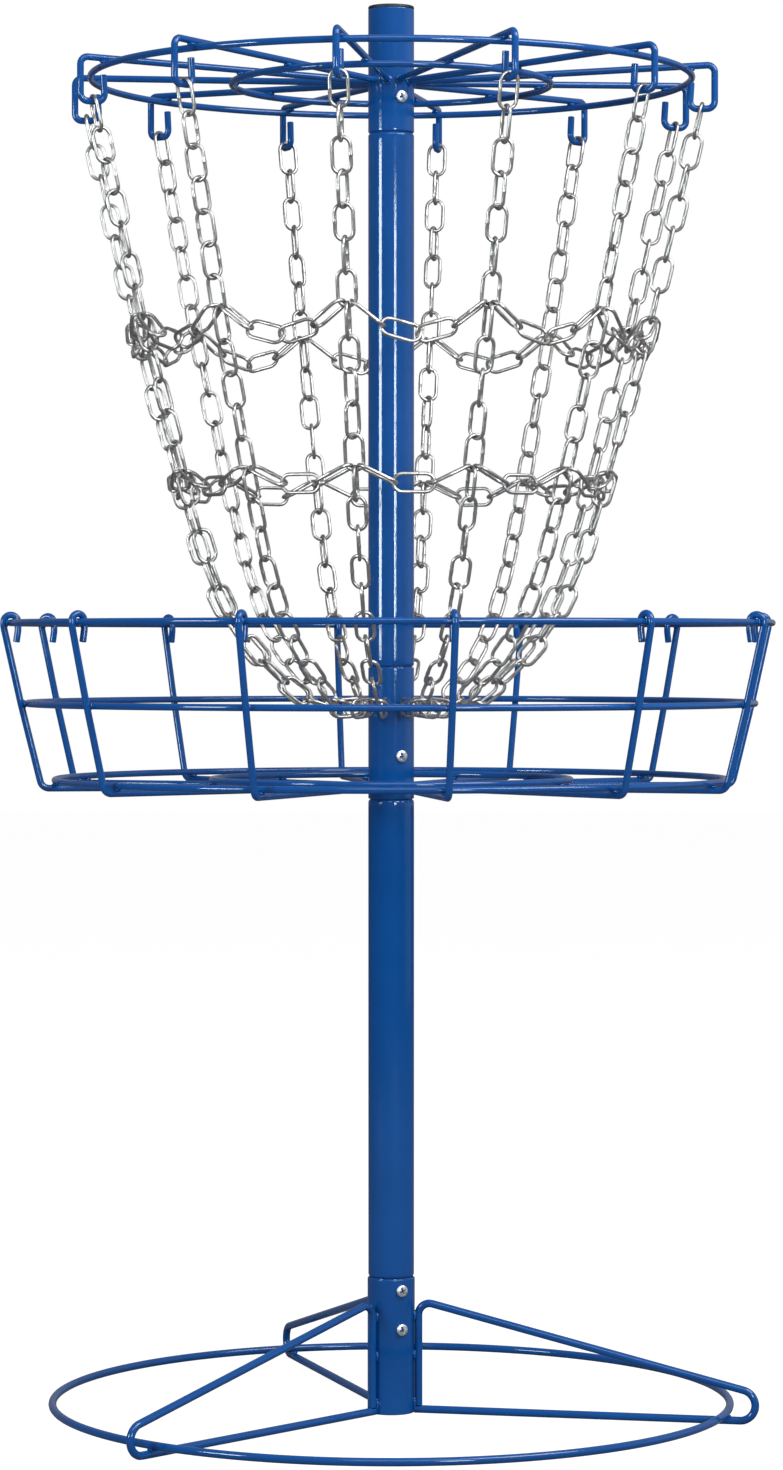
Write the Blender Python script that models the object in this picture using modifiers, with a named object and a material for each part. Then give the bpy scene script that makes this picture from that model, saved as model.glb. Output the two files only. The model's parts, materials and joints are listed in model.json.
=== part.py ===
"""Disc golf basket: a pole in three sections, a wire base, a wire basket, a hooked top frame and chains.

Metres, +Z up. The origin is on the pole's axis at floor level.
"""
import math

import bmesh
import bpy
from mathutils import Matrix, Vector

# Fit between touching pieces
GAP = 0.0003

# Repeats
ARMS = 12
STEP = 2 * math.pi / ARMS
ARM_START = math.radians(-9.1)
WIRE_START = math.radians(8.75)
LEGS = 3
LEG_START = math.radians(-12)

# Pole sections, bottom to top
POLE_RADIUS = 0.0202
POLE_NECK_RADIUS = 0.0188
POLE_WALL = 0.0012
SLEEVE_BORE = POLE_NECK_RADIUS + GAP
BASE_SLEEVE_RADIUS = 0.0209
SLEEVE_RADIUS = POLE_RADIUS
BASE_SLEEVE_TOP = 0.120
BASKET_SLEEVE_BOTTOM = 0.543
BASKET_SLEEVE_TOP = 0.659
TOP_SLEEVE_BOTTOM = 1.129
TOP_SLEEVE_TOP = 1.2375
NECK_LENGTH = 0.052
EDGE_ROUND = 0.0008
CAP_THICKNESS = 0.0028
CAP_PLUG_DEPTH = 0.012

# Wires
WIRE = 0.0030
BASE_WIRE = 0.0035

# Top frame
TOP_OUTER_RADIUS = 0.264
TOP_INNER_RADIUS = 0.140
ARM_HEIGHT = 1.183
ARM_DROP = 0.0095
HOOK_OUTER = 0.285
HOOK_INNER = 0.263
HOOK_DROP = 0.038
HOOK_LIP = 0.023
HOOK_LEAN = 0.0015
HOOK_BEND = 0.0065

# Basket
RIM_RADIUS = 0.335
RIM_HEIGHT = 0.698
RIM_LOOP_TOP = 0.0072
RIM_TAIL = 0.017
MID_RADIUS = 0.320
MID_HEIGHT = 0.6275
FLOOR_CORNER = 0.308
FLOOR_HEIGHT = 0.5537
FLOOR_RING_RADIUS = 0.296
INNER_RING_RADIUS = 0.158
BASKET_BEND = 0.008

# Base
BASE_RING_RADIUS = 0.299
LEG_TOP = 0.100
LEG_TIP_RADIUS = 0.0135
LEG_REACH = 0.324
LEG_BEND = 0.010

# Chains: a hanging chain's steel is spread over one plain rod of equal weight
LINK_WIRE = 0.0032
LINK_PITCH = 0.0274
LINK_WIDTH = 0.0185
LINK_LENGTH = LINK_PITCH + 2 * LINK_WIRE
LINK_STEEL = 2 * (LINK_LENGTH - LINK_WIDTH) + math.pi * (LINK_WIDTH - LINK_WIRE)
CHAIN_AREA = math.pi / 4 * LINK_WIRE ** 2 * LINK_STEEL / LINK_PITCH
CHAIN_SIDES = 6
CHAIN_ROD = math.sqrt(CHAIN_AREA / (CHAIN_SIDES / 2 * math.sin(2 * math.pi / CHAIN_SIDES)))
HOOK_MIDDLE = (HOOK_OUTER + HOOK_INNER) / 2
HOOK_BOTTOM = ARM_HEIGHT - HOOK_DROP
UPPER_SAG = 0.027
LOWER_SAG = 0.017
CHAIN_RUN = ((0.2295, 0.961), (0.192, 0.8265))
CHAIN_TAIL = (
    (0.168, 0.747), (0.156, 0.7205), (0.142, 0.693), (0.1195, 0.666), (0.086, 0.6345), (0.057, 0.6205))
CHAIN_RING_RADIUS = 0.030
CHAIN_RING_WIRE = 0.0025
CHAIN_RING_HEIGHT = 0.6245

# Screws
SCREW_ANGLE = math.radians(-64)
SCREW_SHANK = 0.0022
SCREW_HOLE = 0.0026
SCREW_HEAD = 0.0052
SCREW_HEAD_HEIGHT = 0.0028
SCREW_LENGTH = 0.010

# Facets
TURN_STEPS = 24
RING_STEPS = 36
WIRE_SIDES = 8
RIM_LOOP_STEPS = 5
BEND_STEPS = 2


def clear_scene():
    for obj in list(bpy.data.objects):
        bpy.data.objects.remove(obj, do_unlink=True)


def make_collection(name):
    group = bpy.data.collections.new(name)
    bpy.context.scene.collection.children.link(group)
    return group


def make_material(name, color, metallic, roughness):
    material = bpy.data.materials.new(name)
    material.use_nodes = True
    shader = material.node_tree.nodes["Principled BSDF"]
    shader.inputs["Base Color"].default_value = (*color, 1.0)
    shader.inputs["Metallic"].default_value = metallic
    shader.inputs["Roughness"].default_value = roughness
    return material


def at(radius, angle, height):
    return Vector((radius * math.cos(angle), radius * math.sin(angle), height))


def add_part(name, data, color, metallic=0.0, roughness=0.3):
    obj = bpy.data.objects.new(name, data)
    data.materials.append(make_material(name, color, metallic, roughness))
    PARTS.objects.link(obj)
    return obj


def smooth(mesh):
    mesh.shade_smooth()
    mesh.set_sharp_from_angle(angle=math.radians(40))


def turned(name, profile, color, metallic=0.0, roughness=0.3, closed=True):
    """A turned piece. The profile (radius, height) runs down its outer side and back up its inner side."""
    mesh = bpy.data.meshes.new(name)
    count = len(profile)
    last = count if closed else count - 1
    edges = [(index, (index + 1) % count) for index in range(last)]
    mesh.from_pydata([(radius, 0, height) for radius, height in profile], edges, [])
    obj = add_part(name, mesh, color, metallic, roughness)
    screw = obj.modifiers.new("turn", "SCREW")
    screw.steps = TURN_STEPS
    screw.render_steps = TURN_STEPS
    screw.use_merge_vertices = True
    screw.merge_threshold = 0.00005
    screw.use_smooth_shade = True
    return obj


def torus(name, radius, wire, height, turn, color, metallic=0.0, roughness=0.3):
    bpy.ops.mesh.primitive_torus_add(
        major_radius=radius, minor_radius=wire, major_segments=RING_STEPS, minor_segments=WIRE_SIDES,
        location=(0, 0, height), rotation=(0, 0, turn))
    obj = bpy.context.object
    obj.name = name
    for group in list(obj.users_collection):
        group.objects.unlink(obj)
    PARTS.objects.link(obj)
    smooth(obj.data)
    obj.data.materials.append(make_material(name, color, metallic, roughness))
    return obj


def wire_curve(name, points, radius, sides, cyclic=False):
    """A bent wire as a curve, with the bevel resolution that gives its number of sides."""
    curve = bpy.data.curves.new(name, "CURVE")
    curve.dimensions = "3D"
    curve.bevel_depth = radius
    curve.bevel_resolution = sides // 2 - 2
    curve.use_fill_caps = not cyclic
    spline = curve.splines.new("POLY")
    spline.points.add(len(points) - 1)
    for target, point in zip(spline.points, points):
        target.co = (*point, 1)
    spline.use_cyclic_u = cyclic
    return curve


def bent(points, bends, steps=BEND_STEPS):
    """A polyline of (radius, height) with each inner corner turned to an arc of its own bend radius."""
    path = [Vector(points[0])]
    for before, corner, after, bend in zip(points, points[1:], points[2:], bends):
        corner = Vector(corner)
        to_before = (Vector(before) - corner).normalized()
        to_after = (Vector(after) - corner).normalized()
        half = to_before.angle(to_after) / 2
        centre = corner + (to_before + to_after).normalized() * bend / math.sin(half)
        tangent = bend / math.tan(half)
        start = corner + to_before * tangent - centre
        end = corner + to_after * tangent - centre
        sweep = start.angle_signed(end)
        for index in range(steps + 1):
            path.append(centre + Matrix.Rotation(-sweep * index / steps, 2) @ start)
    path.append(Vector(points[-1]))
    return path


def upright_wire(name, profile, angle, radius, color):
    """A wire bent in the vertical plane at an angle."""
    points = [at(point[0], angle, point[1]) for point in profile]
    add_part(name, wire_curve(name, points, radius, WIRE_SIDES), color)


def cut(obj, cutter):
    boolean = obj.modifiers.new("cut " + cutter.name, "BOOLEAN")
    boolean.operation = "DIFFERENCE"
    boolean.solver = "EXACT"
    boolean.object = cutter


def screw_hole(name, height):
    """A drill through one wall of a sleeve and the neck inside it."""
    middle = (POLE_NECK_RADIUS + BASE_SLEEVE_RADIUS) / 2
    bpy.ops.mesh.primitive_cylinder_add(
        vertices=8, radius=SCREW_HOLE, depth=0.010, location=at(middle, SCREW_ANGLE, height),
        rotation=(0, math.pi / 2, SCREW_ANGLE))
    drill = bpy.context.object
    drill.name = name
    for group in list(drill.users_collection):
        group.objects.unlink(drill)
    CUTTERS.objects.link(drill)
    drill.hide_render = True
    drill.display_type = "WIRE"
    return drill


def sleeve(name, radius, bottom, top, color):
    profile = [
        (radius - EDGE_ROUND, top), (radius, top - EDGE_ROUND),
        (radius, bottom + EDGE_ROUND), (radius - EDGE_ROUND, bottom),
        (SLEEVE_BORE, bottom), (SLEEVE_BORE, top)]
    return turned(name, profile, color)


def pole(name, bottom, top, color):
    """A tube with a reduced neck at both ends; bottom and top are its shoulders."""
    shoulder = POLE_RADIUS - POLE_NECK_RADIUS
    low = bottom - NECK_LENGTH
    high = top + NECK_LENGTH
    inner = POLE_RADIUS - POLE_WALL
    neck_inner = POLE_NECK_RADIUS - POLE_WALL
    profile = [
        (POLE_NECK_RADIUS, high), (POLE_NECK_RADIUS, top + GAP), (POLE_RADIUS, top - shoulder),
        (POLE_RADIUS, bottom + shoulder), (POLE_NECK_RADIUS, bottom - GAP), (POLE_NECK_RADIUS, low),
        (neck_inner, low), (neck_inner, bottom), (inner, bottom + 2 * shoulder),
        (inner, top - 2 * shoulder), (neck_inner, top), (neck_inner, high)]
    return turned(name, profile, color)


def cap():
    profile = [
        (0, TOP_SLEEVE_TOP + CAP_THICKNESS), (SLEEVE_RADIUS - 2 * EDGE_ROUND, TOP_SLEEVE_TOP + CAP_THICKNESS),
        (SLEEVE_RADIUS, TOP_SLEEVE_TOP + CAP_THICKNESS - 2 * EDGE_ROUND),
        (SLEEVE_RADIUS, TOP_SLEEVE_TOP + GAP), (POLE_NECK_RADIUS, TOP_SLEEVE_TOP + GAP),
        (POLE_NECK_RADIUS, TOP_SLEEVE_TOP - CAP_PLUG_DEPTH), (0, TOP_SLEEVE_TOP - CAP_PLUG_DEPTH)]
    return turned("pole_cap", profile, CAP_COLOR, roughness=0.5, closed=False)


def screw_piece(name, sleeve_radius, height):
    """A pan-head screw, modelled along Z and laid along the drill's line."""
    seat = sleeve_radius + GAP
    profile = [
        (0, SCREW_HEAD_HEIGHT), (SCREW_HEAD * 0.6, SCREW_HEAD_HEIGHT * 0.85),
        (SCREW_HEAD, SCREW_HEAD_HEIGHT * 0.35), (SCREW_HEAD, 0),
        (SCREW_SHANK, 0), (SCREW_SHANK, -SCREW_LENGTH), (0, -SCREW_LENGTH)]
    obj = turned(name, profile, ZINC, 1.0, 0.25, closed=False)
    obj.modifiers["turn"].steps = 12
    obj.modifiers["turn"].render_steps = 12
    obj.location = at(seat, SCREW_ANGLE, height)
    obj.rotation_euler = (0, math.pi / 2, SCREW_ANGLE)
    return obj


def make_pole():
    base_sleeve = sleeve("base_sleeve", BASE_SLEEVE_RADIUS, GAP, BASE_SLEEVE_TOP, BLUE)
    basket_sleeve = sleeve("basket_sleeve", SLEEVE_RADIUS, BASKET_SLEEVE_BOTTOM, BASKET_SLEEVE_TOP, BLUE)
    top_sleeve = sleeve("top_sleeve", SLEEVE_RADIUS, TOP_SLEEVE_BOTTOM, TOP_SLEEVE_TOP, BLUE)
    lower_pole = pole("lower_pole", BASE_SLEEVE_TOP + GAP, BASKET_SLEEVE_BOTTOM - GAP, BLUE)
    upper_pole = pole("upper_pole", BASKET_SLEEVE_TOP + GAP, TOP_SLEEVE_BOTTOM - GAP, BLUE)
    cap()
    joints = (
        ("screw_top", 1.159, SLEEVE_RADIUS, top_sleeve, upper_pole),
        ("screw_basket", 0.581, SLEEVE_RADIUS, basket_sleeve, lower_pole),
        ("screw_base_upper", 0.110, BASE_SLEEVE_RADIUS, base_sleeve, lower_pole),
        ("screw_base_lower", 0.0757, BASE_SLEEVE_RADIUS, base_sleeve, lower_pole))
    for name, height, radius, outer, inner in joints:
        drill = screw_hole(name + "_hole", height)
        cut(outer, drill)
        cut(inner, drill)
        screw_piece(name, radius, height)


def make_base():
    wall = BASE_SLEEVE_RADIUS + GAP + BASE_WIRE
    ground = BASE_WIRE
    tip = Vector((LEG_REACH - LEG_TIP_RADIUS, ground + LEG_TIP_RADIUS))
    top = Vector((wall, LEG_TOP))
    to_tip = tip - top
    slope = math.atan2(to_tip.y, to_tip.x) + math.asin(LEG_TIP_RADIUS / to_tip.length)
    tip_start = tip + LEG_TIP_RADIUS * Vector((-math.sin(slope), math.cos(slope)))
    strut = bent([(wall, ground + 2 * BASE_WIRE + 3 * GAP), top, tip_start], [LEG_BEND])
    turns = 8
    first = slope + math.pi / 2
    loop = [
        tip + LEG_TIP_RADIUS * Vector((math.cos(turn), math.sin(turn)))
        for turn in (first - (first + math.pi / 2) * index / turns for index in range(1, turns + 1))]
    profile = strut + loop + [Vector((BASE_SLEEVE_RADIUS + GAP, ground))]
    for index in range(LEGS):
        angle = LEG_START + index * 2 * math.pi / LEGS
        upright_wire(f"base_leg_{index + 1}", profile, angle, BASE_WIRE, BLUE)
    ring_height = ground + 2 * BASE_WIRE + GAP
    torus("base_ring", BASE_RING_RADIUS, BASE_WIRE, ring_height, LEG_START, BLUE)


def make_basket():
    reach = 2 * WIRE + GAP
    loop_middle = RIM_HEIGHT + RIM_LOOP_TOP - reach
    corner = (FLOOR_CORNER, FLOOR_HEIGHT)
    loop = [
        Vector((RIM_RADIUS + reach * math.cos(turn), loop_middle + reach * math.sin(turn)))
        for turn in (math.pi * index / RIM_LOOP_STEPS for index in range(RIM_LOOP_STEPS + 1))]
    side = bent([tuple(loop[0]), (RIM_RADIUS + reach, RIM_HEIGHT - WIRE), (MID_RADIUS + reach, MID_HEIGHT)],
                [0.02], 1)
    floor = bent([(MID_RADIUS + reach, MID_HEIGHT), corner, (SLEEVE_RADIUS + GAP, FLOOR_HEIGHT)],
                 [BASKET_BEND])
    tail = Vector((RIM_RADIUS - reach + HOOK_LEAN, RIM_HEIGHT - RIM_TAIL))
    profile = [tail] + list(reversed(loop)) + side[1:-1] + floor
    for index in range(ARMS):
        angle = WIRE_START + index * STEP
        upright_wire(f"basket_wire_{index + 1:02d}", profile, angle, WIRE, BLUE)
    ring_height = FLOOR_HEIGHT + reach
    torus("basket_rim", RIM_RADIUS, WIRE, RIM_HEIGHT, WIRE_START, BLUE)
    torus("basket_mid_ring", MID_RADIUS, WIRE, MID_HEIGHT, WIRE_START, BLUE)
    torus("basket_floor_ring", FLOOR_RING_RADIUS, WIRE, ring_height, WIRE_START, BLUE)
    torus("basket_inner_ring", INNER_RING_RADIUS, WIRE, ring_height, WIRE_START, BLUE)


def arm_height(radius):
    """An arm's middle line, which falls a little from its hook to the sleeve."""
    return ARM_HEIGHT - ARM_DROP * (HOOK_OUTER - radius) / (HOOK_OUTER - SLEEVE_RADIUS)


def make_top_frame():
    foot = SLEEVE_RADIUS + GAP
    profile = bent(
        [(foot, arm_height(foot)), (HOOK_OUTER, ARM_HEIGHT), (HOOK_OUTER, HOOK_BOTTOM),
         (HOOK_INNER, HOOK_BOTTOM), (HOOK_INNER + HOOK_LEAN, HOOK_BOTTOM + HOOK_LIP)],
        [HOOK_BEND] * 3)
    for index in range(ARMS):
        angle = ARM_START + index * STEP
        upright_wire(f"top_arm_{index + 1:02d}", profile, angle, WIRE, BLUE)
    for name, radius in (("top_outer_ring", TOP_OUTER_RADIUS), ("top_inner_ring", TOP_INNER_RADIUS)):
        torus(name, radius, WIRE, arm_height(radius) - 2 * WIRE - GAP, ARM_START, BLUE)


def make_hanging_chain(index):
    """The run from the hook to the lower cross chain, with its origin on the hook it swings on."""
    angle = ARM_START + index * STEP
    upper, lower = CHAIN_RUN
    lean = math.atan2(upper[0] - HOOK_MIDDLE, HOOK_BOTTOM - upper[1])
    clear = WIRE + GAP + CHAIN_ROD * 0.5
    top = (HOOK_MIDDLE + clear * math.sin(lean), HOOK_BOTTOM - clear * math.cos(lean))
    end = (lower[0] + 0.0032, lower[1] + CHAIN_ROD * 2 + 0.006)
    name = f"chain_{index + 1:02d}"
    base = at(HOOK_MIDDLE, angle, HOOK_BOTTOM)
    points = [at(point[0], angle, point[1]) - base for point in (top, upper, end)]
    obj = add_part(name, wire_curve(name, points, CHAIN_ROD, CHAIN_SIDES), ZINC, 1.0, 0.25)
    obj.location = base


def cross_chain_points(level, outside, sag, steps):
    """A ring of chain tied at each hanging chain and sagging between them; level 0 is the upper one."""
    radius, height = CHAIN_RUN[level]
    points = []
    for index in range(ARMS):
        from_point = at(radius + outside, ARM_START + index * STEP, height)
        to_point = at(radius + outside, ARM_START + (index + 1) * STEP, height)
        for step in range(steps):
            share = step / steps
            point = from_point.lerp(to_point, share)
            point.z -= 4 * sag * share * (1 - share)
            points.append(point)
    return points


def as_mesh(name, curve):
    """A curve's evaluated surface as a mesh object with its caps welded."""
    source = bpy.data.objects.new(name, curve)
    PARTS.objects.link(source)
    bpy.context.view_layer.update()
    evaluated = source.evaluated_get(bpy.context.evaluated_depsgraph_get())
    mesh = bpy.data.meshes.new_from_object(evaluated)
    place = source.matrix_world.copy()
    bpy.data.objects.remove(source)
    obj = bpy.data.objects.new(name, mesh)
    obj.matrix_world = place
    work = bmesh.new()
    work.from_mesh(mesh)
    bmesh.ops.remove_doubles(work, verts=work.verts, dist=0.00002)
    work.to_mesh(mesh)
    work.free()
    return obj


def make_chains():
    for index in range(ARMS):
        make_hanging_chain(index)
    points = cross_chain_points(0, 2 * CHAIN_ROD + 2 * GAP, UPPER_SAG, 5)
    ring = wire_curve("upper_cross_chain", points, CHAIN_ROD, CHAIN_SIDES, cyclic=True)
    add_part("upper_cross_chain", ring, ZINC, 1.0, 0.25)

    points = cross_chain_points(1, 0, LOWER_SAG, 4)
    loop = wire_curve("lower_chain_net", points, CHAIN_ROD, CHAIN_SIDES, cyclic=True)
    net = as_mesh("lower_chain_net", loop)
    net.data.materials.append(make_material("lower_chain_net", ZINC, 1.0, 0.25))
    PARTS.objects.link(net)
    ring_edge = CHAIN_RING_RADIUS + CHAIN_RING_WIRE + GAP + CHAIN_ROD * 0.3
    for index in range(ARMS):
        angle = ARM_START + index * STEP
        name = f"chain_tail_{index + 1:02d}"
        profile = (CHAIN_RUN[1],) + CHAIN_TAIL + ((ring_edge, CHAIN_RING_HEIGHT),)
        path = [at(point[0], angle, point[1]) for point in profile]
        tail = as_mesh(name, wire_curve(name, path, CHAIN_ROD * 0.98, CHAIN_SIDES))
        CUTTERS.objects.link(tail)
        tail.hide_render = True
        tail.display_type = "WIRE"
        union = net.modifiers.new(name, "BOOLEAN")
        union.operation = "UNION"
        union.solver = "EXACT"
        union.object = tail
    torus("chain_ring", CHAIN_RING_RADIUS, CHAIN_RING_WIRE, CHAIN_RING_HEIGHT, ARM_START, ZINC, 1.0, 0.25)


BLUE = (0.010, 0.110, 0.400)
ZINC = (0.700, 0.710, 0.720)
CAP_COLOR = (0.020, 0.020, 0.022)

clear_scene()
PARTS = make_collection("disc_golf_basket")
CUTTERS = make_collection("cutters")
make_pole()
make_base()
make_basket()
make_top_frame()
make_chains()
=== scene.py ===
"""Looks of the disc golf basket: fine wires, welds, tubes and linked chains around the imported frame."""
import json
import math
import random

import bmesh
import bpy
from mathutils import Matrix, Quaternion, Vector


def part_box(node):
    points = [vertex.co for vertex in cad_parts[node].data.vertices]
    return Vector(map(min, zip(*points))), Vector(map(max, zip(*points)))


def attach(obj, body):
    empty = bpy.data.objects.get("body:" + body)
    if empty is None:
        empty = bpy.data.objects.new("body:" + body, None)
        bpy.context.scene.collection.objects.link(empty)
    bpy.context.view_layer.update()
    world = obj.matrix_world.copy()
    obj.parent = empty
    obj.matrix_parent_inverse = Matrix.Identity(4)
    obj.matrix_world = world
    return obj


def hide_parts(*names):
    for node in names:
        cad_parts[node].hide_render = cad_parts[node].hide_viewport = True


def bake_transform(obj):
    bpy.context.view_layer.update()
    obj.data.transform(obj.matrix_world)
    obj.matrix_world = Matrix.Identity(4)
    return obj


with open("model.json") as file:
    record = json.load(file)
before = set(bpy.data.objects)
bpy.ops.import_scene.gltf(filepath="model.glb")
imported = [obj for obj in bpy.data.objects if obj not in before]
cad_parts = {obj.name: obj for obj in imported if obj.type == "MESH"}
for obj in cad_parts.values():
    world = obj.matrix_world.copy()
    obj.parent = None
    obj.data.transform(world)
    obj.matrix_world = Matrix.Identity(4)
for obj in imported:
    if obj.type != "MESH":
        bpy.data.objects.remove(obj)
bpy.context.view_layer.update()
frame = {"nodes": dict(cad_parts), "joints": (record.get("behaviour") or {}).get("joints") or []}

UP = Vector((0, 0, 1))
ARMS = 12
STEP = 2 * math.pi / ARMS


# ---------------------------------------------------------------- sizes, from the frame

def extent(node):
    """Least and greatest distance from the pole's axis, and least and greatest height, of a CAD node."""
    corners = [vertex.co for vertex in frame["nodes"][node].data.vertices]
    reach = [math.hypot(corner.x, corner.y) for corner in corners]
    heights = [corner.z for corner in corners]
    return min(reach), max(reach), min(heights), max(heights)


def ring_size(node):
    """A CAD ring's radius, wire radius and height."""
    _, outside, low, high = extent(node)
    wire = (high - low) / 2
    return outside - wire, wire, (high + low) / 2


def bearing(point):
    """The direction of a point from the pole's axis."""
    return math.atan2(point[1], point[0])


def middle_bearing(node):
    """The direction in which a CAD node stands out from the pole."""
    return bearing(sum((vertex.co for vertex in frame["nodes"][node].data.vertices), Vector((0, 0, 0))))


def at(radius, angle, height):
    """The point at a distance and direction from the pole's axis."""
    return Vector((radius * math.cos(angle), radius * math.sin(angle), height))


def sideways(angle):
    """The horizontal direction along a circle round the pole."""
    return Vector((-math.sin(angle), math.cos(angle), 0))


RIM_RADIUS, WIRE, RIM_HEIGHT = ring_size("basket_rim")
MID_RADIUS, _, MID_HEIGHT = ring_size("basket_mid_ring")
FLOOR_RING_RADIUS, _, FLOOR_RING_HEIGHT = ring_size("basket_floor_ring")
INNER_RING_RADIUS, _, _ = ring_size("basket_inner_ring")
TOP_OUTER_RADIUS, _, TOP_OUTER_HEIGHT = ring_size("top_outer_ring")
TOP_INNER_RADIUS, _, TOP_INNER_HEIGHT = ring_size("top_inner_ring")
BASE_RING_RADIUS, BASE_WIRE, BASE_RING_HEIGHT = ring_size("base_ring")
CHAIN_RING_RADIUS, CHAIN_RING_WIRE, CHAIN_RING_HEIGHT = ring_size("chain_ring")

HINGES = {joint["child"]: Vector(joint["pos_m"]) for joint in frame["joints"]}
CHAIN_NAMES = sorted(HINGES)
ARM_START = bearing(HINGES[CHAIN_NAMES[0]])
HOOK_BOTTOM = HINGES[CHAIN_NAMES[0]].z
HOOK_MIDDLE = HINGES[CHAIN_NAMES[0]].xy.length
HOOK_OUTER = extent("top_arm_01")[1] - WIRE
HOOK_INNER = 2 * HOOK_MIDDLE - HOOK_OUTER
WIRE_LOW, WIRE_HIGH = extent("basket_wire_01")[2:]
FLOOR_HEIGHT = WIRE_LOW + WIRE
SLEEVE_RADIUS = extent("basket_sleeve")[1]
BASE_SLEEVE_RADIUS = extent("base_sleeve")[1]
POLE_RADIUS = extent("lower_pole")[1]
LEG_START = middle_bearing("base_leg_1")
WIRE_START = middle_bearing("basket_wire_01")
SCREW_ANGLE = middle_bearing("screw_top")
LEG_REACH = extent("base_leg_1")[1] - BASE_WIRE

# The CAD's gap between welded wires. A wire's foot goes as deep into a sleeve's wall.
GAP = 0.0003
CONTACT = 2 * WIRE + GAP

# Top frame: an arm drops toward the pole, and its end bends down and back up into a hook.
HOOK_DROP = 0.038
ARM_HEIGHT = HOOK_BOTTOM + HOOK_DROP
ARM_DROP = 0.0095
HOOK_LIP = 0.023
HOOK_LEAN = 0.0015
HOOK_BEND = 0.0065

# Basket: a wire's end hangs inside the rim, its side slopes in, and it turns in at the floor.
RIM_TAIL = 0.017
RIM_TAIL_KNEE = 0.4
SIDE_BEND = 0.02
FLOOR_CORNER = 0.308
BASKET_BEND = 0.008

# Base: a leg's strut starts high on the sleeve and turns round at the tip. Tacks are (height, half-length).
LEGS = 3
LEG_TOP = 0.100
LEG_TIP_RADIUS = 0.0135
LEG_BEND = 0.010
LEG_TACKS = ((0.0865, 0.0045), (0.052, 0.0045), (0.009, 0.0060))
TACK_OUT = 0.0006
TACK_SIDE = 0.0022
TACK_WIDTH = 0.0024
TACK_HEIGHT = 0.0018

# Weld beads' half-lengths across, along and out, in wire radii.
CROSSING_BEAD = (1.25, 1.25, 0.55)
FOOT_BEAD = (1.45, 1.55, 0.6)

# The worn edge round a cut wire's end, as a share of the wire's radius.
WORN_EDGE = 0.18

# Chains: (radius, height) of the two ties and of the tail's course, and the links in each stretch.
LINK_WIRE = 0.0016
LINK_WIDTH = 0.0185
LINK_SIDES = 10
BOW_RADIUS = LINK_WIDTH / 2 - LINK_WIRE
CHAIN_RUN = ((0.2295, 0.961), (0.192, 0.8265))
CHAIN_TAIL = (
    (0.168, 0.747), (0.156, 0.7205), (0.142, 0.693),
    (0.1195, 0.666), (0.086, 0.6345), (0.057, 0.6205))
CHAIN_LINKS = (7, 5, 11)

# The butt weld in a link's side: (place along it, swell). A place counts in units of 0.9 wire radii.
SEAM_UNIT = 0.9
SEAM = ((1.2, 1.0), (0.5, 1.13), (-0.5, 1.13), (-1.2, 1.0))

# Cross chains: links in a span, sag at mid-span, and each link's twist in degrees.
UPPER_TIE = {"links": 4, "sag": 0.027, "rolls": (4, 62, 121, 176)}
LOWER_TIE = {"links": 3, "sag": 0.016, "rolls": (5, 88, 175)}
TIE_SEAT = math.radians(52)

# How far a link's twist strays from even, in degrees, and where each chain's draws start.
ROLL_WOBBLE = 24.0
TAIL_WOBBLE = 20
TIE_WOBBLE = 9
CHAIN_SEED = 40
TIE_SEED = 500
TIE_LEVEL_SEEDS = 50


# ---------------------------------------------------------------- materials

# The band that most of a noise texture's values lie in.
USUAL_NOISE = (0.3, 0.7)


def set_inputs(node, **inputs):
    """Sets a node's sockets by name, with _ for a space."""
    for name, value in inputs.items():
        node.inputs[name.replace("_", " ")].default_value = value


def node_of(tree, kind, **inputs):
    """A new node with its sockets' values set."""
    node = tree.nodes.new(kind)
    set_inputs(node, **inputs)
    return node


def noise(tree, scale, detail=3.0):
    """Noise over the object's own coordinates, in metres."""
    place = tree.nodes.new("ShaderNodeTexCoord")
    field = node_of(tree, "ShaderNodeTexNoise", Scale=scale, Detail=detail)
    tree.links.new(place.outputs["Object"], field.inputs["Vector"])
    return field.outputs["Fac"]


def mottle(tree, factor, dark, light, band):
    """A colour that runs from dark to light while the factor runs through the band."""
    node = tree.nodes.new("ShaderNodeValToRGB")
    tree.links.new(factor, node.inputs["Fac"])
    for element, place, color in zip(node.color_ramp.elements, band, (dark, light)):
        element.position = place
        element.color = (*color, 1.0)
    return node.outputs["Color"]


def span(tree, factor, low, high, band=USUAL_NOISE):
    """The factor stretched from its band to low..high."""
    node = node_of(
        tree, "ShaderNodeMapRange", From_Min=band[0], From_Max=band[1], To_Min=low, To_Max=high)
    tree.links.new(factor, node.inputs["Value"])
    return node.outputs["Result"]


def make_surface(name, metallic, tint, roughness, grain, band=(0.35, 0.65)):
    """A Principled material with uneven colour, uneven gloss and a fine grain.

    tint is (noise scale, dark, light), roughness is (noise scale, low, high),
    and grain is (noise scale, detail, strength, height in metres).
    """
    material = bpy.data.materials.new(name)
    material.use_nodes = True
    tree = material.node_tree
    shader = tree.nodes["Principled BSDF"]
    set_inputs(shader, Metallic=metallic)
    scale, dark, light = tint
    tree.links.new(mottle(tree, noise(tree, scale), dark, light, band), shader.inputs["Base Color"])
    scale, low, high = roughness
    tree.links.new(span(tree, noise(tree, scale), low, high), shader.inputs["Roughness"])
    scale, detail, strength, height = grain
    relief = node_of(tree, "ShaderNodeBump", Strength=strength, Distance=height)
    tree.links.new(noise(tree, scale, detail), relief.inputs["Height"])
    tree.links.new(relief.outputs["Normal"], shader.inputs["Normal"])
    return material


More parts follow.
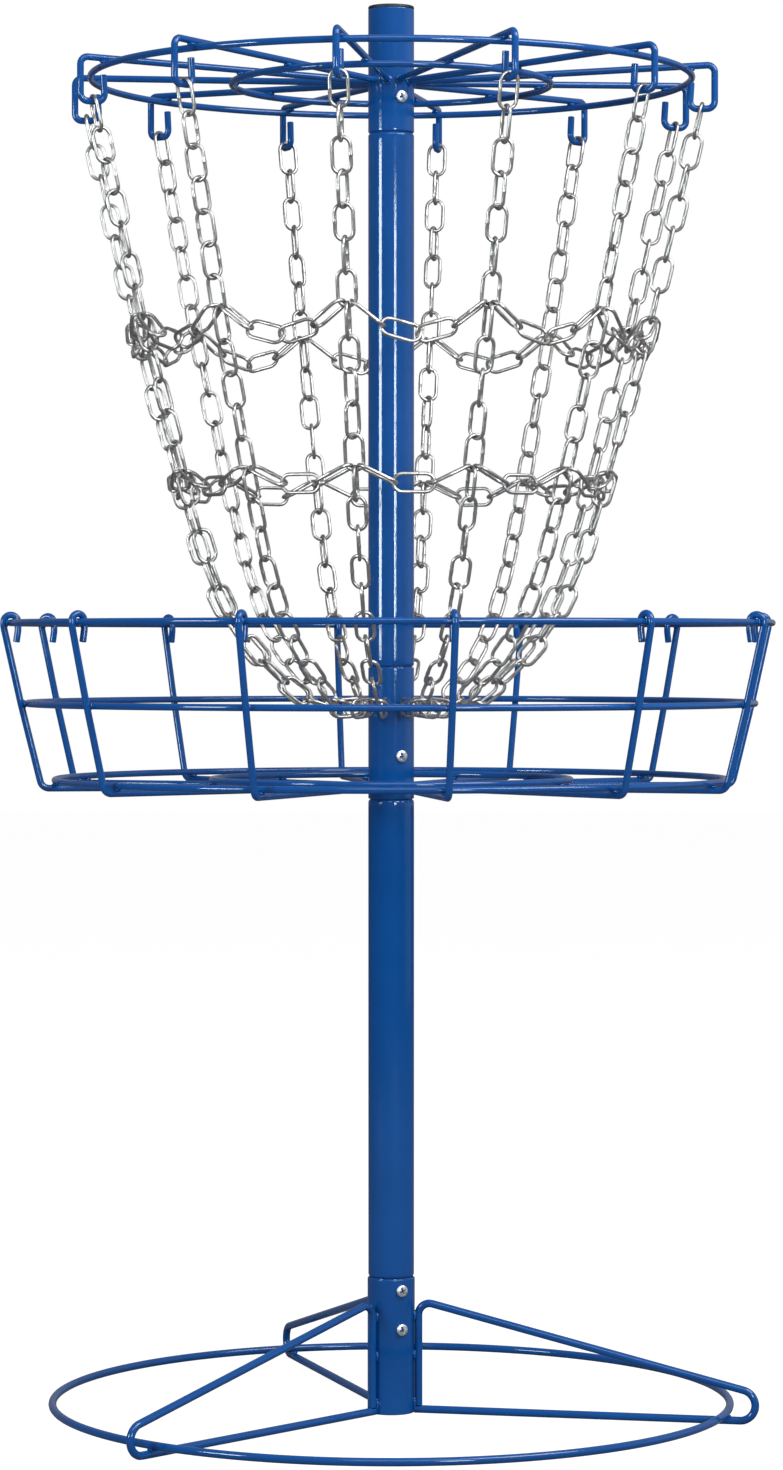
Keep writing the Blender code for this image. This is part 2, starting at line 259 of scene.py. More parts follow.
BLUE = make_surface(
    "blue_powder_coat", metallic=0.0,
    tint=(14.0, (0.0022, 0.062, 0.250), (0.0032, 0.070, 0.280)),
    roughness=(90.0, 0.045, 0.085),
    grain=(520.0, 2.0, 0.10, 0.0002))
ZINC = make_surface(
    "zinc_plate", metallic=1.0,
    tint=(240.0, (0.47, 0.45, 0.44), (0.60, 0.575, 0.56)),
    roughness=(420.0, 0.27, 0.38),
    grain=(900.0, 3.0, 0.08, 0.0002))
SCREW_ZINC = make_surface(
    "bright_zinc", metallic=1.0,
    tint=(500.0, (0.74, 0.75, 0.76), (0.88, 0.89, 0.90)),
    roughness=(700.0, 0.34, 0.46),
    grain=(1500.0, 3.0, 0.08, 0.0002))
BLACK = make_surface(
    "black_plastic", metallic=0.0,
    tint=(160.0, (0.010, 0.010, 0.012), (0.020, 0.020, 0.022)),
    roughness=(300.0, 0.42, 0.58),
    grain=(1800.0, 3.0, 0.25, 0.0003),
    band=(0.4, 0.6))


# ---------------------------------------------------------------- shapes

def add_object(name, data):
    """A new object in the scene."""
    obj = bpy.data.objects.new(name, data)
    bpy.context.scene.collection.objects.link(obj)
    return obj


class Shape:
    """Vertices and faces of one piece, built up from tubes, turned bodies and weld beads."""

    def __init__(self):
        self.vertices = []
        self.faces = []

    def grid(self, rows, closed=False, rings=True):
        """Quads between rows of equally many points; rings closes each row on itself.

        closed joins the last row to the first; otherwise both end rings are filled.
        """
        first = len(self.vertices)
        sides = len(rows[0])
        for row in rows:
            self.vertices.extend(row)
        count = len(rows)
        for row in range(count if closed else count - 1):
            here = first + row * sides
            there = first + (row + 1) % count * sides
            for side in range(sides if rings else sides - 1):
                after = (side + 1) % sides
                self.faces.append((here + side, here + after, there + after, there + side))
        if not closed:
            last = first + (count - 1) * sides
            self.faces.append(tuple(first + side for side in reversed(range(sides))))
            self.faces.append(tuple(last + side for side in range(sides)))

    def tube(self, path, normal, radius, sides=14, closed=False):
        """A round wire along a path in the plane across normal; radius is a number or one number a point."""
        rows = []
        count = len(path)
        for index, point in enumerate(path):
            before = path[index - 1] if index or closed else point
            after = path[(index + 1) % count] if index < count - 1 or closed else point
            across = normal.cross(after - before).normalized()
            size = radius[index] if isinstance(radius, list) else radius
            rows.append([
                point + size * (math.cos(turn) * across + math.sin(turn) * normal)
                for turn in (2 * math.pi * side / sides for side in range(sides))])
        self.grid(rows, closed)

    def cut_wire(self, path, normal, radius, sides=14):
        """An open wire whose cut ends have a small worn edge."""
        edge = radius * WORN_EDGE
        head = path[0] + (path[1] - path[0]).normalized() * edge
        foot = path[-1] + (path[-2] - path[-1]).normalized() * edge
        points = [path[0], head] + list(path[1:-1]) + [foot, path[-1]]
        sizes = [radius - edge] + [radius] * (len(points) - 2) + [radius - edge]
        self.tube(points, normal, sizes, sides)

    def lathe(self, profile, steps=96, axis=UP, origin=Vector((0, 0, 0)), closed=True):
        """A body turned about an axis, from a profile of (radius, height).

        A closed profile runs down outside and up inside; an open one starts and ends near the axis, and both
        small holes there are filled.
        """
        turn_from = axis.orthogonal().normalized()
        turn_to = axis.cross(turn_from)
        rows = []
        for step in range(steps):
            turn = -2 * math.pi * step / steps
            out = math.cos(turn) * turn_from + math.sin(turn) * turn_to
            rows.append([origin + out * radius + axis * height for radius, height in profile])
        first = len(self.vertices)
        self.grid(rows, closed=True, rings=closed)
        if not closed:
            top = [first + step * len(profile) for step in range(steps)]
            bottom = [corner + len(profile) - 1 for corner in reversed(top)]
            self.faces.extend((tuple(top), tuple(bottom)))

    def bead(self, centre, along, across, out, size):
        """A weld bead: a low ellipsoid with half-lengths size along three directions and flat poles."""
        steps = 8
        sides = 14
        pole_cut = 0.35
        rows = []
        for step in range(steps + 1):
            tilt = math.pi * (step + pole_cut) / (steps + 2 * pole_cut)
            rows.append([
                centre + along * size[0] * math.sin(tilt) * math.cos(turn)
                + across * size[1] * math.sin(tilt) * math.sin(turn) + out * size[2] * math.cos(tilt)
                for turn in (2 * math.pi * side / sides for side in range(sides))])
        self.grid(rows)

    def mesh(self, name):
        """The shape as a mesh with every closed shell's faces turned outward."""
        mesh = bpy.data.meshes.new(name)
        mesh.from_pydata([tuple(vertex) for vertex in self.vertices], [], self.faces)
        mesh.validate()
        work = bmesh.new()
        work.from_mesh(mesh)
        bmesh.ops.recalc_face_normals(work, faces=work.faces)
        work.to_mesh(mesh)
        work.free()
        return mesh

    def piece(self, name, material, *nodes, body="root", sharp=35.0):
        """The finished object with its slot, the CAD nodes it stands for and, if not blended, its body."""
        mesh = self.mesh(name)
        mesh.shade_smooth()
        mesh.set_sharp_from_angle(angle=math.radians(sharp))
        mesh.materials.append(material)
        obj = add_object(name, mesh)
        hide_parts(*nodes)
        if body:
            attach(obj, body)
        return obj


def arc(centre, radius, start, end, steps):
    """Points (radius, height) on an arc, both ends included."""
    return [
        Vector((centre[0] + radius * math.cos(turn), centre[1] + radius * math.sin(turn)))
        for turn in (start + (end - start) * step / steps for step in range(steps + 1))]


def bent(points, bends, steps=9):
    """A polyline of (radius, height) with each inner corner turned to an arc of its own bend radius."""
    path = [Vector(points[0])]
    for before, corner, after, bend in zip(points, points[1:], points[2:], bends):
        corner = Vector(corner)
        to_before = (Vector(before) - corner).normalized()
        to_after = (Vector(after) - corner).normalized()
        half = to_before.angle(to_after) / 2
        centre = corner + (to_before + to_after).normalized() * bend / math.sin(half)
        start = corner + to_before * bend / math.tan(half) - centre
        end = corner + to_after * bend / math.tan(half) - centre
        first = math.atan2(start.y, start.x)
        sweep = (math.atan2(end.y, end.x) - first + math.pi) % (2 * math.pi) - math.pi
        path.extend(arc(centre, bend, first, first + sweep, steps))
    path.append(Vector(points[-1]))
    return path


def upright(profile, angle):
    """A profile of (radius, height) stood up in the direction angle from the pole."""
    return [at(point[0], angle, point[1]) for point in profile]


def ring(node, radius, wire, height, material=BLUE, steps=180):
    """A closed wire ring round the pole."""
    circle = [at(radius, 2 * math.pi * step / steps, height) for step in range(steps)]
    shape = Shape()
    shape.tube(circle, UP, wire, closed=True)
    shape.piece(node + "_wire", material, node)


# ---------------------------------------------------------------- pole

# Tubes: wall, rounded ends, reduced necks and rolled shoulders, with how far round a shoulder goes.
WALL = 0.0013
EDGE = 0.0011
NECK_PLAY = 0.0002
NECK = SLEEVE_RADIUS - WALL - NECK_PLAY
ROLL = 0.0034
ROLL_TURN = 1.05

# Cap: the lid's rounded edge, its middle's rise over that edge, its flatter middle part, and the plug.
CAP_CROWN = 0.0011
CAP_RISE = 0.0003
CAP_FLAT = 0.72
CAP_FLAT_DROP = 0.0002
PLUG_TAPER = 0.0004
NEAR_AXIS = 0.0005

# Screws: a head with a rim and a dome, given as shares of its height, a shank and a tapering cross recess.
HEAD_TALL = 0.0028
HEAD_RIM = 0.55
HEAD_DOME = 0.45
HEAD_TIP = 0.0003
SHANK_RADIUS = 0.0021
SHANK_LENGTH = 0.006
RECESS_TURN = math.radians(20)
RECESS_TOP = 1.3
RECESS_TOP_SIZE = (0.0040, 0.0011)
RECESS_FOOT_SIZE = (0.0010, 0.0005)
# The two slots' depths are shares of the head's height. They differ, so that no floors lie in one plane.
RECESS_DEPTHS = (0.55, 0.63)


def round_edge(radius, height, bend, start, end, steps):
    """A profile's rounded corner, from an angle to another about (radius, height)."""
    return [tuple(point) for point in arc((radius, height), bend, start, end, steps)]


def sleeve(node, radius):
    """A short tube with rounded ends; the rows next to them keep the long wall's shading straight."""
    _, _, low, high = extent(node)
    bore = radius - WALL
    profile = (
        round_edge(radius - EDGE, high - EDGE, EDGE, math.pi / 2, 0, steps=5)
        + [(radius, high - 2 * EDGE), (radius, low + 2 * EDGE)]
        + round_edge(radius - EDGE, low + EDGE, EDGE, 0, -math.pi / 2, steps=5)
        + [(bore, low), (bore, high)])
    shape = Shape()
    shape.lathe(profile)
    shape.piece(node + "_tube", BLUE, node, sharp=50.0)


def pole(node, low, high):
    """A tube between two sleeves' ends, with rolled shoulders down to its reduced necks."""
    neck_low, neck_high = extent(node)[2:]
    profile = (
        [(NECK, neck_high), (NECK, high)]
        + round_edge(POLE_RADIUS - ROLL, high - ROLL, ROLL, ROLL_TURN, 0, steps=6)
        + [(POLE_RADIUS, high - 2 * ROLL), (POLE_RADIUS, low + 2 * ROLL)]
        + round_edge(POLE_RADIUS - ROLL, low + ROLL, ROLL, 0, -ROLL_TURN, steps=6)
        + [(NECK, low), (NECK, neck_low), (NECK - WALL, neck_low), (NECK - WALL, neck_high)])
    shape = Shape()
    shape.lathe(profile)
    shape.piece(node + "_tube", BLUE, node, sharp=50.0)


def cap():
    """The moulded cap: a slightly crowned lid and a plug in the top sleeve's bore."""
    _, outside, plug_low, high = extent("pole_cap")
    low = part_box("top_sleeve")[1].z + GAP
    profile = (
        [(NEAR_AXIS, high), (outside * CAP_FLAT, high - CAP_FLAT_DROP)]
        + round_edge(outside - CAP_CROWN, high - CAP_CROWN - CAP_RISE, CAP_CROWN, math.pi / 2, 0, steps=5)
        + [(outside, low), (NECK, low), (NECK - PLUG_TAPER, plug_low), (NEAR_AXIS, plug_low)])
    shape = Shape()
    shape.lathe(profile, closed=False)
    shape.piece("pole_cap_moulded", BLACK, "pole_cap")


def screw(node):
    """A pan-head screw with a cross recess, its head standing on the sleeve."""
    low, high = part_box(node)
    seat = (BASE_SLEEVE_RADIUS if "base" in node else SLEEVE_RADIUS) + GAP
    axis = at(1, SCREW_ANGLE, 0)
    origin = at(seat, SCREW_ANGLE, ((low + high) / 2).z)
    head = (high.z - low.z) / 2
    steps = 8
    turns = [math.pi / 2 * step / steps for step in range(steps, -1, -1)]
    dome = [
        (head * math.cos(turn), HEAD_TALL * HEAD_RIM + HEAD_TALL * HEAD_DOME * math.sin(turn))
        for turn in turns]
    dome[0] = (HEAD_TIP, HEAD_TALL)
    profile = dome + [
        (head, 0), (SHANK_RADIUS, 0), (SHANK_RADIUS, -SHANK_LENGTH), (HEAD_TIP, -SHANK_LENGTH)]
    shape = Shape()
    shape.lathe(profile, steps=40, axis=axis, origin=origin, closed=False)
    piece = shape.piece(node + "_head", SCREW_ZINC, node)
    for number, depth in enumerate(RECESS_DEPTHS):
        turn = RECESS_TURN + number * math.pi / 2
        along = math.cos(turn) * sideways(SCREW_ANGLE) + math.sin(turn) * UP
        across = axis.cross(along)
        levels = (
            (origin - axis * (HEAD_TALL * depth), RECESS_FOOT_SIZE),
            (origin + axis * (HEAD_TALL * RECESS_TOP), RECESS_TOP_SIZE))
        corners = ((1, 1), (-1, 1), (-1, -1), (1, -1))
        slot = Shape()
        slot.grid([
            [middle + along * length * x + across * width * y for x, y in corners]
            for middle, (length, width) in levels])
        carve(piece, slot, f"{node}_recess_{number}")


def carve(piece, shape, name):
    """Cuts a shape out of a piece for good."""
    cutter = add_object(name, shape.mesh(name))
    boolean = piece.modifiers.new("recess", "BOOLEAN")
    boolean.operation = "DIFFERENCE"
    boolean.solver = "EXACT"
    boolean.object = cutter
    bpy.context.view_layer.update()
    result = bpy.data.meshes.new_from_object(piece.evaluated_get(bpy.context.evaluated_depsgraph_get()))
    piece.modifiers.clear()
    piece.data = result
    bpy.data.objects.remove(cutter)


def make_pole():
    """The two tubes, the three sleeves, the cap and the four screws."""
    for node in ("basket_sleeve", "top_sleeve"):
        sleeve(node, SLEEVE_RADIUS)
    sleeve("base_sleeve", BASE_SLEEVE_RADIUS)
    pole("lower_pole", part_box("base_sleeve")[1].z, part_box("basket_sleeve")[0].z)
    pole("upper_pole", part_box("basket_sleeve")[1].z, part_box("top_sleeve")[0].z)
    cap()
    for node in ("screw_top", "screw_basket", "screw_base_upper", "screw_base_lower"):
        screw(node)


# ---------------------------------------------------------------- wire frames

def crossing(shape, radius, angle, height, radial_slope=0.0):
    """The weld where an upright-plane wire crosses a ring: a bead flattened between them."""
    out = at(1, angle, 0)
    along = (out * math.cos(radial_slope) + UP * math.sin(radial_slope)).normalized()
    shape.bead(
        at(radius, angle, height), sideways(angle), along, sideways(angle).cross(along),
        [WIRE * size for size in CROSSING_BEAD])


def foot_weld(shape, angle, height):
    """The weld where a wire's foot meets a sleeve."""
    shape.bead(
        at(SLEEVE_RADIUS + GAP, angle, height), sideways(angle), UP, at(1, angle, 0),
        [WIRE * size for size in FOOT_BEAD])


def make_top_frame():
    """Twelve arms that run out over two rings, each bent down into an open hook."""
    foot = SLEEVE_RADIUS - GAP
    foot_height = ARM_HEIGHT - ARM_DROP
    slope = math.atan2(ARM_DROP, HOOK_OUTER - foot)
    profile = bent(
        [(foot, foot_height), (HOOK_OUTER, ARM_HEIGHT), (HOOK_OUTER, HOOK_BOTTOM),
         (HOOK_INNER, HOOK_BOTTOM), (HOOK_INNER + HOOK_LEAN, HOOK_BOTTOM + HOOK_LIP)],
        [HOOK_BEND] * 3)
    welds = Shape()
    for index in range(ARMS):
        angle = ARM_START + index * STEP
        node = f"top_arm_{index + 1:02d}"
        arm = Shape()
        arm.cut_wire(upright(profile, angle), sideways(angle), WIRE)
        arm.piece(node + "_wire", BLUE, node)
        crossing(welds, TOP_OUTER_RADIUS, angle, TOP_OUTER_HEIGHT + CONTACT / 2, slope)
        crossing(welds, TOP_INNER_RADIUS, angle, TOP_INNER_HEIGHT + CONTACT / 2, slope)
        foot_weld(welds, angle, foot_height)
    welds.piece("top_frame_welds", BLUE, sharp=60.0)
    ring("top_outer_ring", TOP_OUTER_RADIUS, WIRE, TOP_OUTER_HEIGHT)
    ring("top_inner_ring", TOP_INNER_RADIUS, WIRE, TOP_INNER_HEIGHT)


def make_basket():
    """Twelve wires, each hooked over the rim, down outside the middle ring and in under the floor rings."""
    outside = MID_RADIUS + CONTACT
    tail = [
        Vector((RIM_RADIUS - CONTACT + HOOK_LEAN, RIM_HEIGHT - RIM_TAIL)),
        Vector((RIM_RADIUS - CONTACT, RIM_HEIGHT - RIM_TAIL * RIM_TAIL_KNEE))]
    loop = arc((RIM_RADIUS, WIRE_HIGH - WIRE - CONTACT), CONTACT, math.pi, 0, steps=14)
    side = bent(
        [tuple(loop[-1]), (RIM_RADIUS + CONTACT, RIM_HEIGHT - WIRE), (outside, MID_HEIGHT)],
        [SIDE_BEND], steps=4)
    floor = bent(
        [(outside, MID_HEIGHT), (FLOOR_CORNER, FLOOR_HEIGHT), (SLEEVE_RADIUS - GAP, FLOOR_HEIGHT)],
        [BASKET_BEND])
    profile = tail + loop + side[1:-1] + floor
    slope = math.atan2(MID_HEIGHT - FLOOR_HEIGHT, outside - FLOOR_CORNER)
    contact = (FLOOR_HEIGHT + FLOOR_RING_HEIGHT) / 2
    welds = Shape()
    for index in range(ARMS):
        angle = WIRE_START + index * STEP
        node = f"basket_wire_{index + 1:02d}"
        wire = Shape()
        wire.cut_wire(upright(profile, angle), sideways(angle), WIRE)
        wire.piece(node + "_bent", BLUE, node)
        crossing(welds, MID_RADIUS + CONTACT / 2, angle, MID_HEIGHT, slope)
        crossing(welds, RIM_RADIUS + CONTACT / 2, angle, RIM_HEIGHT, math.pi / 2)
        crossing(welds, FLOOR_RING_RADIUS, angle, contact)
        crossing(welds, INNER_RING_RADIUS, angle, contact)
        foot_weld(welds, angle, FLOOR_HEIGHT)
    welds.piece("basket_welds", BLUE, sharp=60.0)
    ring("basket_rim", RIM_RADIUS, WIRE, RIM_HEIGHT)
    ring("basket_mid_ring", MID_RADIUS, WIRE, MID_HEIGHT)
    ring("basket_floor_ring", FLOOR_RING_RADIUS, WIRE, FLOOR_RING_HEIGHT)
    ring("basket_inner_ring", INNER_RING_RADIUS, WIRE, FLOOR_RING_HEIGHT)


def make_base():
    """Three legs of one wire each: up the sleeve, down a strut, round the tip and back along the ground."""
    wall = BASE_SLEEVE_RADIUS + GAP + BASE_WIRE
    tip = Vector((LEG_REACH - LEG_TIP_RADIUS, BASE_WIRE + LEG_TIP_RADIUS))
    top = Vector((wall, LEG_TOP))
    to_tip = tip - top
    slope = math.atan2(to_tip.y, to_tip.x) + math.asin(LEG_TIP_RADIUS / to_tip.length)
    turn = arc(tip, LEG_TIP_RADIUS, slope + math.pi / 2, -math.pi / 2, steps=24)
    strut = bent([(wall, 2 * BASE_WIRE - GAP), top, turn[0]], [LEG_BEND])
    profile = strut + turn[1:] + [Vector((BASE_SLEEVE_RADIUS - GAP, BASE_WIRE))]
    welds = Shape()
    for index in range(LEGS):
        angle = LEG_START + index * 2 * math.pi / LEGS
        node = f"base_leg_{index + 1}"
        leg = Shape()
        leg.cut_wire(upright(profile, angle), sideways(angle), BASE_WIRE, sides=16)
        leg.piece(node + "_wire", BLUE, node)
        crossing(welds, BASE_RING_RADIUS, angle, (BASE_WIRE + BASE_RING_HEIGHT) / 2)
        for height, length in LEG_TACKS:
            for hand in (-1, 1):
                place = at(BASE_SLEEVE_RADIUS + TACK_OUT, angle, height) + sideways(angle) * hand * TACK_SIDE
                welds.bead(place, UP, sideways(angle), at(1, angle, 0), (length, TACK_WIDTH, TACK_HEIGHT))
    welds.piece("base_welds", BLUE, sharp=60.0)
    ring("base_ring", BASE_RING_RADIUS, BASE_WIRE, BASE_RING_HEIGHT)


# ---------------------------------------------------------------- chains

def link_frame(start, end, flat, roll):
    """A link's centre, its long direction, its width direction and half its straight sides."""
    along = (end - start).normalized()
    across = (flat - along * flat.dot(along)).normalized()
    across = Quaternion(along, roll) @ across
    straight = (end - start).length / 2 + LINK_WIRE - BOW_RADIUS
    return (start + end) / 2, along, across, straight


def bow(centre, along, across, straight, hand, steps=9):
    """The round end of a link on one side, from one straight side to the other."""
    turns = [math.pi * step / steps for step in range(steps + 1)]
    return [
        centre + along * (hand * (straight + BOW_RADIUS * math.sin(turn)))
        + across * (BOW_RADIUS * math.cos(turn))
        for turn in turns]


def add_link(shape, start, end, flat, roll, half=0):
    """A link whose inner ends are at start and end; half keeps just its start (-1) or its end (1) side."""
    centre, along, across, straight = link_frame(start, end, flat, roll)
    normal = along.cross(across)
    plain_side = centre + across * BOW_RADIUS
    seam_side = centre - across * BOW_RADIUS
    right = bow(centre, along, across, straight, 1)
    left = bow(centre, along, across, straight, -1)
    if half:
        shape.tube([plain_side] + (right if half > 0 else left) + [seam_side], normal, LINK_WIRE, LINK_SIDES)
        return
    seam = [seam_side + along * (LINK_WIRE * SEAM_UNIT) * place for place, _ in SEAM]
    swells = [1.0] * len(right) + [swell for _, swell in SEAM] + [1.0] * (len(left) + 1)
    sizes = [LINK_WIRE * swell for swell in swells]
    shape.tube(right + seam + left[::-1] + [plain_side], normal, sizes, LINK_SIDES, closed=True)


def add_run(shape, points, flat, turns):
    """Links between the points, each rolled by its own turn in degrees."""
    for start, end, turn in zip(points, points[1:], turns):
        add_link(shape, start, end, flat, math.radians(turn))


def even_points(course, count):
    """count + 1 points at equal distances along a polyline."""
    lengths = [(after - before).length for before, after in zip(course, course[1:])]
    total = sum(lengths)
    points = []
    for step in range(count + 1):
        left = total * step / count
        for index, length in enumerate(lengths):
            if left <= length or index == len(lengths) - 1:
                points.append(course[index].lerp(course[index + 1], left / length))
                break
            left -= length
    return points


def smooth_course(course, rounds=3):
    """Corner cutting that keeps both ends: a hanging run without kinks."""
    for _ in range(rounds):
        cut = [course[0]]
        for before, after in zip(course, course[1:]):
            cut.extend((before.lerp(after, 0.25), before.lerp(after, 0.75)))
        course = cut + [course[-1]]
    return course


def rolls(count, draw):
    """Twist of count links from one that lies along the ring to the next such one, in degrees.

    About half as many half turns as links; an odd count goes up or down at random.
    """
    half_turns = round(count / 2 + draw.choice((-0.24, 0.24)))
    return [
        180.0 * half_turns * index / count + (draw.uniform(-ROLL_WOBBLE, ROLL_WOBBLE) if index else 0)
        for index in range(count)]


def make_hanging_chain(index):
    """One chain from its hook to the centre ring: swinging to the lower tie, then bending to the ring.

    At 0 or 180 degrees a link's broad side faces outward, as it does on the hook and at both ties.
    """
    draw = random.Random(CHAIN_SEED + index)
    angle = ARM_START + index * STEP
    hook = at(HOOK_MIDDLE, angle, HOOK_BOTTOM + WIRE)
    upper, lower = (at(radius, angle, height) for radius, height in CHAIN_RUN)
    foot = at(CHAIN_RING_RADIUS - CHAIN_RING_WIRE, angle, CHAIN_RING_HEIGHT)
    side = sideways(angle)
    to_upper, to_lower, to_foot = CHAIN_LINKS
    shape = Shape()
    turns = [0.0] + [90 + roll for roll in rolls(to_upper - 1, draw)]
    add_run(shape, even_points([hook, upper], to_upper), side, turns[:-1] + [180.0])
    turns = [90 + roll for roll in rolls(to_lower, draw)]
    add_run(shape, even_points([upper, lower], to_lower), side, turns[:-1] + [180.0])
    course = smooth_course([lower] + [at(radius, angle, height) for radius, height in CHAIN_TAIL] + [foot])
    turns = [
        90 * (number + 1) + (draw.uniform(-TAIL_WOBBLE, TAIL_WOBBLE) if 0 < number < to_foot - 1 else 0)
        for number in range(to_foot)]
    add_run(shape, even_points(course, to_foot), side, turns)
    name = CHAIN_NAMES[index]
    chain = shape.piece(name + "_links", ZINC, name, "lower_chain_net", body=None, sharp=60.0)
    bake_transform(chain)


def tie_points(index, level, tie):
    """Contact points of a cross chain's links between two hanging chains, sagging under their own weight."""
    radius, height = CHAIN_RUN[level]
    seat = BOW_RADIUS - LINK_WIRE
    ends = []
    for place, hand in ((index, 1), (index + 1, -1)):
        angle = ARM_START + place * STEP
        aside = sideways(angle) * hand * seat * math.sin(TIE_SEAT)
        ends.append(at(radius, angle, height + seat) + aside - UP * seat * math.cos(TIE_SEAT))
    start, end = ends
    steps = 40
    shares = [step / steps for step in range(steps + 1)]
    course = [start.lerp(end, share) - UP * 4 * tie["sag"] * share * (1 - share) for share in shares]
    return even_points(course, tie["links"])


def make_tie(index, level, tie, name, node):
    """One span of a cross chain as two halves, each reaching from its own hanging chain to mid-span."""
    points = tie_points(index, level, tie)
    count = tie["links"]
    middle = at(1, ARM_START + (index + 0.5) * STEP, 0)
    draw = random.Random(TIE_SEED + TIE_LEVEL_SEEDS * level + index)
    halves = (Shape(), Shape())
    for number in range(count):
        roll = math.radians(tie["rolls"][number] + draw.uniform(-TIE_WOBBLE, TIE_WOBBLE))
        start, end = points[number], points[number + 1]
        if 2 * number + 1 == count:
            add_link(halves[0], start, end, middle, roll, half=-1)
            add_link(halves[1], start, end, middle, roll, half=1)
        else:
            add_link(halves[0 if 2 * number < count - 1 else 1], start, end, middle, roll)
    for half, place, near, mark in zip(halves, (index, index + 1), (points[0], points[-1]), "ab"):
        piece = half.piece(f"{name}_{index + 1:02d}{mark}", ZINC, node, body=None, sharp=60.0)
        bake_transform(piece)


def make_chains():
    """Twelve hanging chains, the two cross chains between them and the ring at their foot."""
    for index in range(ARMS):
        make_hanging_chain(index)
        make_tie(index, 0, UPPER_TIE, "upper_tie", "upper_cross_chain")
        make_tie(index, 1, LOWER_TIE, "lower_tie", "lower_chain_net")
    ring("chain_ring", CHAIN_RING_RADIUS, CHAIN_RING_WIRE, CHAIN_RING_HEIGHT, ZINC, steps=96)


# ---------------------------------------------------------------- stage

CAMERA_DISTANCE = 3.885
CAMERA_SIDE = 0.0003
CAMERA_HEIGHT = 0.678
CAMERA_PITCH = math.radians(1.162)
CAMERA_LENS = 107.84
SENSOR_WIDTH = 36.0

FLOOR_HALF = 14.0
FLOOR_GREY = (0.2, 0.2, 0.2)
FLOOR_ROUGHNESS = 0.9
FLOOR_GLOW = 0.93
ROOM_DARK = 0.14
ROOM_BRIGHT = 0.46
ROOM_SIDE = Vector((0.85, 0.0, 0.45))
COOL_WHITE = (0.88, 1.0, 1.02)
LIT_HEIGHT = 0.8


def camera_ray(tree):
    """1 for what the camera sees directly, 0 for light that falls on the object or shows in its gloss."""
    return tree.nodes.new("ShaderNodeLightPath").outputs["Is Camera Ray"]


def make_floor():
    """A pale floor that meets the pale background: it glows for the camera, but not in the gloss."""
    mesh = bpy.data.meshes.new("floor")
    corners = [(x * FLOOR_HALF, y * FLOOR_HALF, 0) for x, y in ((-1, -1), (1, -1), (1, 1), (-1, 1))]
    mesh.from_pydata(corners, [], [(0, 1, 2, 3)])
    floor = add_object("floor", mesh)
    pale = bpy.data.materials.new("pale_floor")
    pale.use_nodes = True
    tree = pale.node_tree
    shader = tree.nodes["Principled BSDF"]
    set_inputs(
        shader, Base_Color=(*FLOOR_GREY, 1), Roughness=FLOOR_ROUGHNESS, Specular_IOR_Level=0.0,
        Emission_Color=(1, 1, 1, 1))
    glow = tree.nodes.new("ShaderNodeMath")
    glow.operation = "MULTIPLY"
    glow.inputs[1].default_value = FLOOR_GLOW
    tree.links.new(camera_ray(tree), glow.inputs[0])
    tree.links.new(glow.outputs["Value"], shader.inputs["Emission Strength"])
    mesh.materials.append(pale)


def area_light(name, place, target, width, height, radiance, color=(1.0, 1.0, 1.0)):
    """A soft box of an even radiance that faces its target and that the camera can't see."""
    light = bpy.data.lights.new(name, "AREA")
    light.shape = "RECTANGLE"
    light.color = color
    light.size = width
    light.size_y = height
    light.energy = radiance * math.pi * width * height
    lamp = add_object(name, light)
    lamp.location = place
    lamp.rotation_mode = "QUATERNION"
    lamp.rotation_quaternion = (target - place).to_track_quat("-Z", "Y")
    lamp.visible_camera = False


def soft_box(name, turn, distance, low, high, width, radiance):
    """An upright box facing the pole, turn degrees round from the camera's side, between two heights."""
    place = at(distance, math.radians(turn - 90), (low + high) / 2)
    area_light(name, place, Vector((0, 0, place.z)), width, high - low, radiance, COOL_WHITE)


def overhead_box(name, place, width, depth, radiance):
    """A broad box high up, aimed at the pole just above the basket."""
    area_light(name, Vector(place), Vector((0, 0, LIT_HEIGHT)), width, depth, radiance)


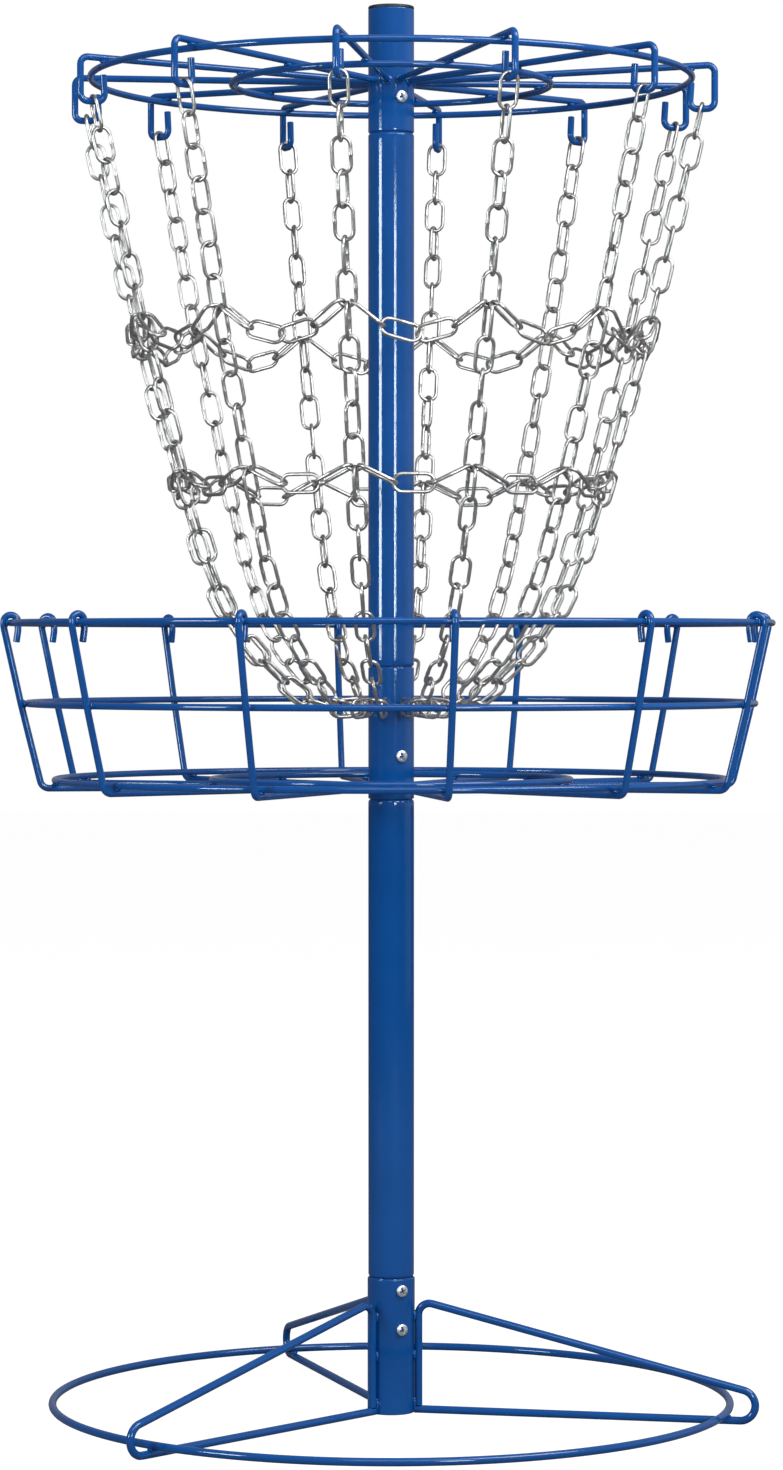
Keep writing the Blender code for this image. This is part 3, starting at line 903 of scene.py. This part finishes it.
def make_room():
    """White behind the object for the camera; for the object a dim room, brighter at its upper right."""
    world = bpy.data.worlds.new("studio")
    bpy.context.scene.world = world
    world.use_nodes = True
    tree = world.node_tree
    direction = tree.nodes.new("ShaderNodeTexCoord")
    facing = tree.nodes.new("ShaderNodeVectorMath")
    facing.operation = "DOT_PRODUCT"
    facing.inputs[1].default_value = ROOM_SIDE.normalized()
    level = span(tree, facing.outputs["Value"], ROOM_DARK, ROOM_BRIGHT, band=(-1.0, 1.0))
    room = tree.nodes.new("ShaderNodeBackground")
    background = tree.nodes["Background"]
    set_inputs(background, Color=(1, 1, 1, 1), Strength=1.0)
    choice = tree.nodes.new("ShaderNodeMixShader")
    tree.links.new(direction.outputs["Generated"], facing.inputs[0])
    tree.links.new(level, room.inputs["Strength"])
    tree.links.new(camera_ray(tree), choice.inputs["Fac"])
    tree.links.new(room.outputs["Background"], choice.inputs[1])
    tree.links.new(background.outputs["Background"], choice.inputs[2])
    tree.links.new(choice.outputs["Shader"], tree.nodes["World Output"].inputs["Surface"])


def make_light():
    """The room and its soft boxes, which draw the long highlights on the pole."""
    bpy.context.scene.view_settings.view_transform = "Standard"
    make_room()
    soft_box("left_box", turn=-56.0, distance=2.9, low=0.66, high=1.46, width=0.74, radiance=20)
    soft_box("right_box", turn=20.5, distance=3.5, low=0.66, high=1.42, width=0.62, radiance=25)
    soft_box("right_fill", turn=95, distance=3.2, low=0.1, high=2.0, width=2.6, radiance=0.2)
    overhead_box("overhead_box", place=(0.4, -2.2, 3.0), width=2.4, depth=1.6, radiance=2.5)
    overhead_box("right_overhead_box", place=(1.7, -1.1, 2.5), width=1.6, depth=1.3, radiance=8.0)


def make_camera():
    """The photo's viewpoint: in front, a little above the pole's middle, looking slightly down."""
    data = bpy.data.cameras.new("camera")
    data.lens = CAMERA_LENS
    data.sensor_width = SENSOR_WIDTH
    camera = add_object("camera", data)
    camera.location = (CAMERA_SIDE, -CAMERA_DISTANCE, CAMERA_HEIGHT)
    camera.rotation_euler = (math.pi / 2 - CAMERA_PITCH, 0, 0)
    bpy.context.scene.camera = camera


make_camera()
make_floor()
make_light()
make_pole()
make_top_frame()
make_basket()
make_base()
make_chains()
